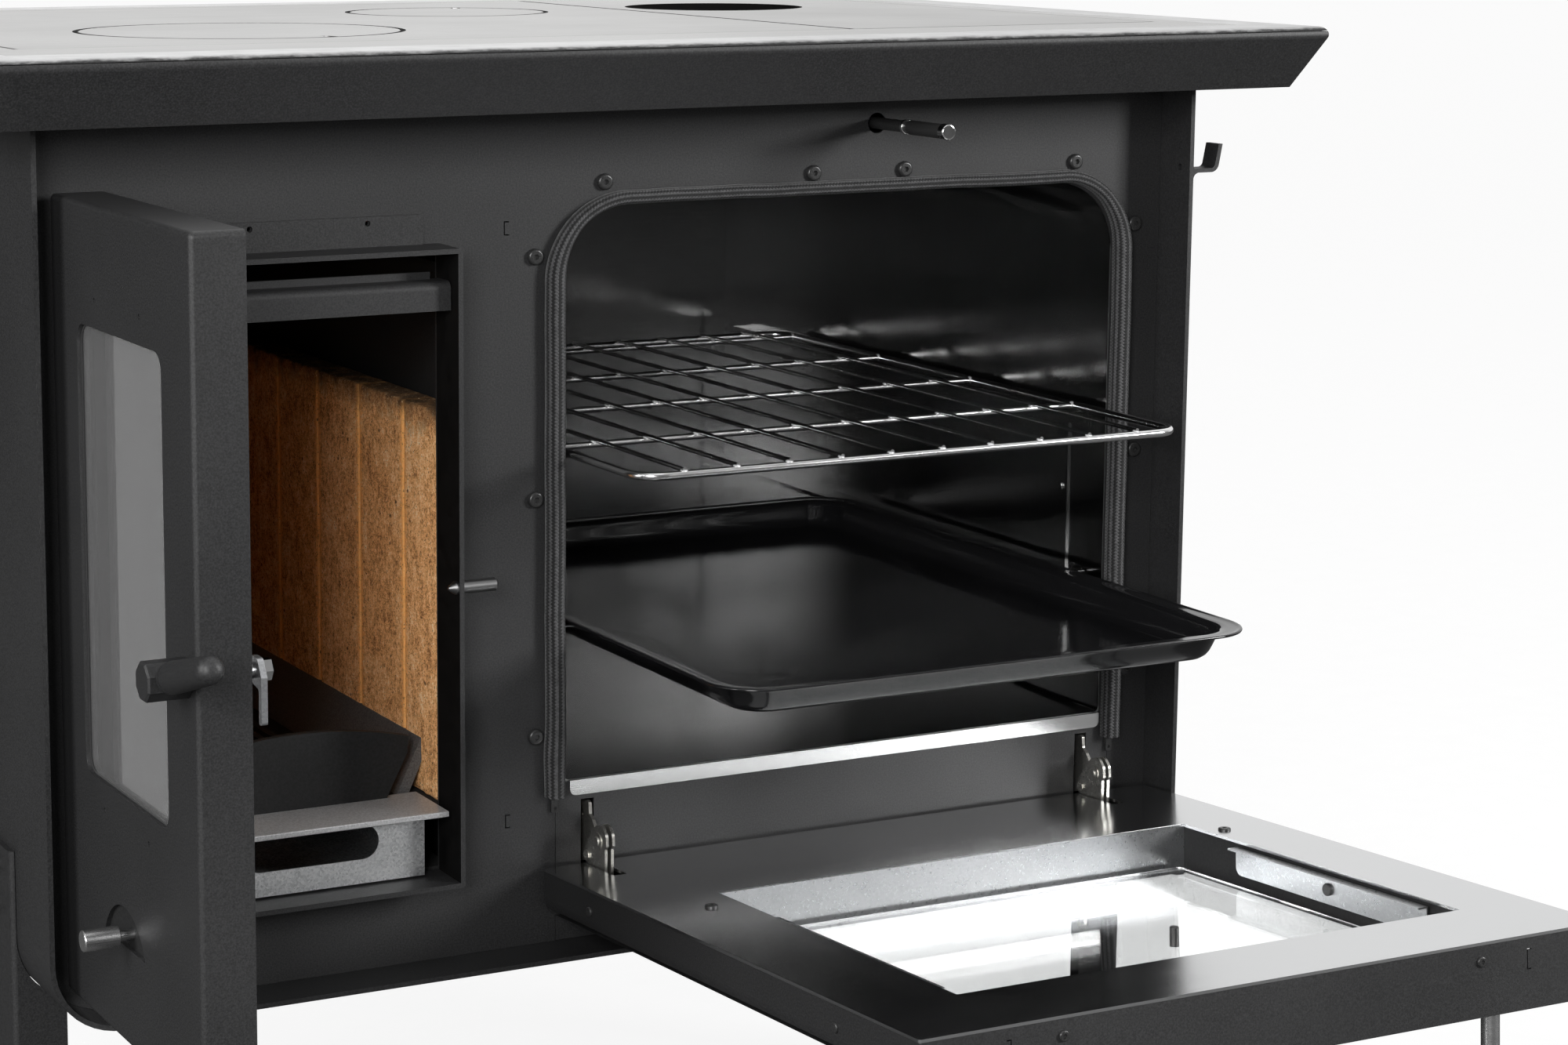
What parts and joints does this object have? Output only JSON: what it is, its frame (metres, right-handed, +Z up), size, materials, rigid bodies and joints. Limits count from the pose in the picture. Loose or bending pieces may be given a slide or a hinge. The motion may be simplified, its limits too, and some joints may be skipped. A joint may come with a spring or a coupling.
{
  "type": "wood cookstove",
  "caption": "Free-standing wood cookstove with a steel hob, firebox with a glazed side-hung door, and an oven with a drop-down glazed door, rack and tray.",
  "frame": {"origin": "centre of the bounding box at the floor, with both doors open as pictured", "axes": "+X to the right seen from the front, +Y from front to back, +Z up from the floor"},
  "size_m": [1.0354, 1.1441, 0.859],
  "materials": {
    "case_paint": "satin black textured paint",
    "frame_steel": "brushed plate",
    "hotplate_steel": "ground steel plate",
    "cast": "rough cast",
    "brick": "fired chamotte, speckled",
    "galvanised": "zinc coated sheet",
    "stainless": "brushed stainless",
    "chrome": "polished",
    "yellow_zinc": "yellow zinc",
    "dark_screw": "black oxide",
    "rope": "braided glass fibre",
    "wool": "mineral wool",
    "glass_clear": "polished",
    "glass_printed": "polished with printed border",
    "enamel": "gloss vitreous enamel",
    "wire": "bright wire",
    "grip": "moulded",
    "inner_black": "matt black"
  },
  "bodies": {
    "stove": {"casing": "case_paint", "back_panel": "galvanised", "front_panel": "case_paint", "lower_front_strip": "case_paint", "panel_screws": "dark_screw", "hob_rim": "frame_steel", "hob_frame": "frame_steel", "hob_support": "cast", "hotplate_left": "hotplate_steel", "hotplate_right": "hotplate_steel", "legs": "case_paint", "leg_bolts": "dark_screw", "side_hook": "case_paint", "firebox_collar": "case_paint", "striker_pin": "dark_screw", "deflector_bar": "cast", "sill_ledge": "cast", "firebox_shell": "inner_black", "grate_frame": "inner_black", "grate": "cast", "firebricks": "brick", "hopper_plates": "cast", "log_retainer": "cast", "firebox_hinge_fixed": "case_paint", "oven_liner": "stainless", "oven_runners": "stainless", "oven_lip": "stainless", "oven_gasket": "rope", "insulation": "wool", "smoke_baffle": "inner_black", "oven_hinge_claws": "yellow_zinc"},
    "firebox_door": {"firebox_door_pan": "case_paint", "firebox_door_glass": "glass_clear", "door_glass_clips": "galvanised", "door_inner_rails": "inner_black", "door_seals": "rope", "firebox_hinge_moving": "case_paint"},
    "air_control": {"air_slider": "inner_black", "air_knob": "stainless"},
    "latch": {"latch_handle": "case_paint", "latch_spindle": "chrome", "latch_arm": "galvanised"},
    "oven_door": {"door_inner_plate": "stainless", "door_skin": "case_paint", "window_channel": "galvanised", "window_channel_side": "inner_black", "door_outer_glass": "glass_printed", "door_inner_glass": "glass_clear", "door_screws": "stainless", "door_handle": "stainless", "oven_hinge_arms": "yellow_zinc"},
    "rack": {"oven_rack": "wire"},
    "tray": {"oven_tray": "enamel"},
    "drawer": {"ash_drawer": "galvanised"},
    "damper": {"damper_rod": "dark_screw", "damper_trim": "chrome", "damper_grip": "grip", "damper_plate": "inner_black"},
    "large_lid": {"lid_large": "hotplate_steel"},
    "small_lid": {"lid_small": "hotplate_steel"}
  },
  "joints": [
    {"name": "firebox_door_hinge", "type": "hinge", "parent": "stove", "child": "firebox_door", "pos_m": [-0.378, -0.069, 0.5], "axis": [0, 0, -1], "range_deg": [-90, 6]},
    {"name": "latch_turn", "type": "hinge", "parent": "firebox_door", "child": "latch", "pos_m": [-0.43, -0.316, 0.501], "axis": [-1, 0, 0], "range_deg": [-45, 0]},
    {"name": "air_slide", "type": "slide", "parent": "firebox_door", "child": "air_control", "axis": [0, 1, 0], "range_m": [-0.018, 0.033]},
    {"name": "oven_door_hinge", "type": "hinge", "parent": "stove", "child": "oven_door", "pos_m": [0.175, -0.069, 0.276], "axis": [1, 0, 0], "range_deg": [-86.3, 0]},
    {"name": "rack_slide", "type": "slide", "parent": "stove", "child": "rack", "axis": [0, 1, 0], "range_m": [0, 0.1175]},
    {"name": "tray_slide", "type": "slide", "parent": "stove", "child": "tray", "axis": [0, 1, 0], "range_m": [0, 0.2235]},
    {"name": "drawer_slide", "type": "slide", "parent": "stove", "child": "drawer", "axis": [0, -1, 0], "range_m": [0, 0.3]},
    {"name": "damper_slide", "type": "slide", "parent": "stove", "child": "damper", "axis": [0, -1, 0], "range_m": [-0.055, 0]},
    {"name": "large_lid_lift", "type": "slide", "parent": "stove", "child": "large_lid", "axis": [0, 0, 1], "range_m": [0, 0.1]},
    {"name": "small_lid_lift", "type": "slide", "parent": "stove", "child": "small_lid", "axis": [0, 0, 1], "range_m": [0, 0.1]}
  ],
  "couplings": [
    {"joint": "rack_slide", "follows": "oven_door_hinge", "m_per_rad": -0.077678},
    {"joint": "tray_slide", "follows": "oven_door_hinge", "m_per_rad": -0.14805}
  ]
}
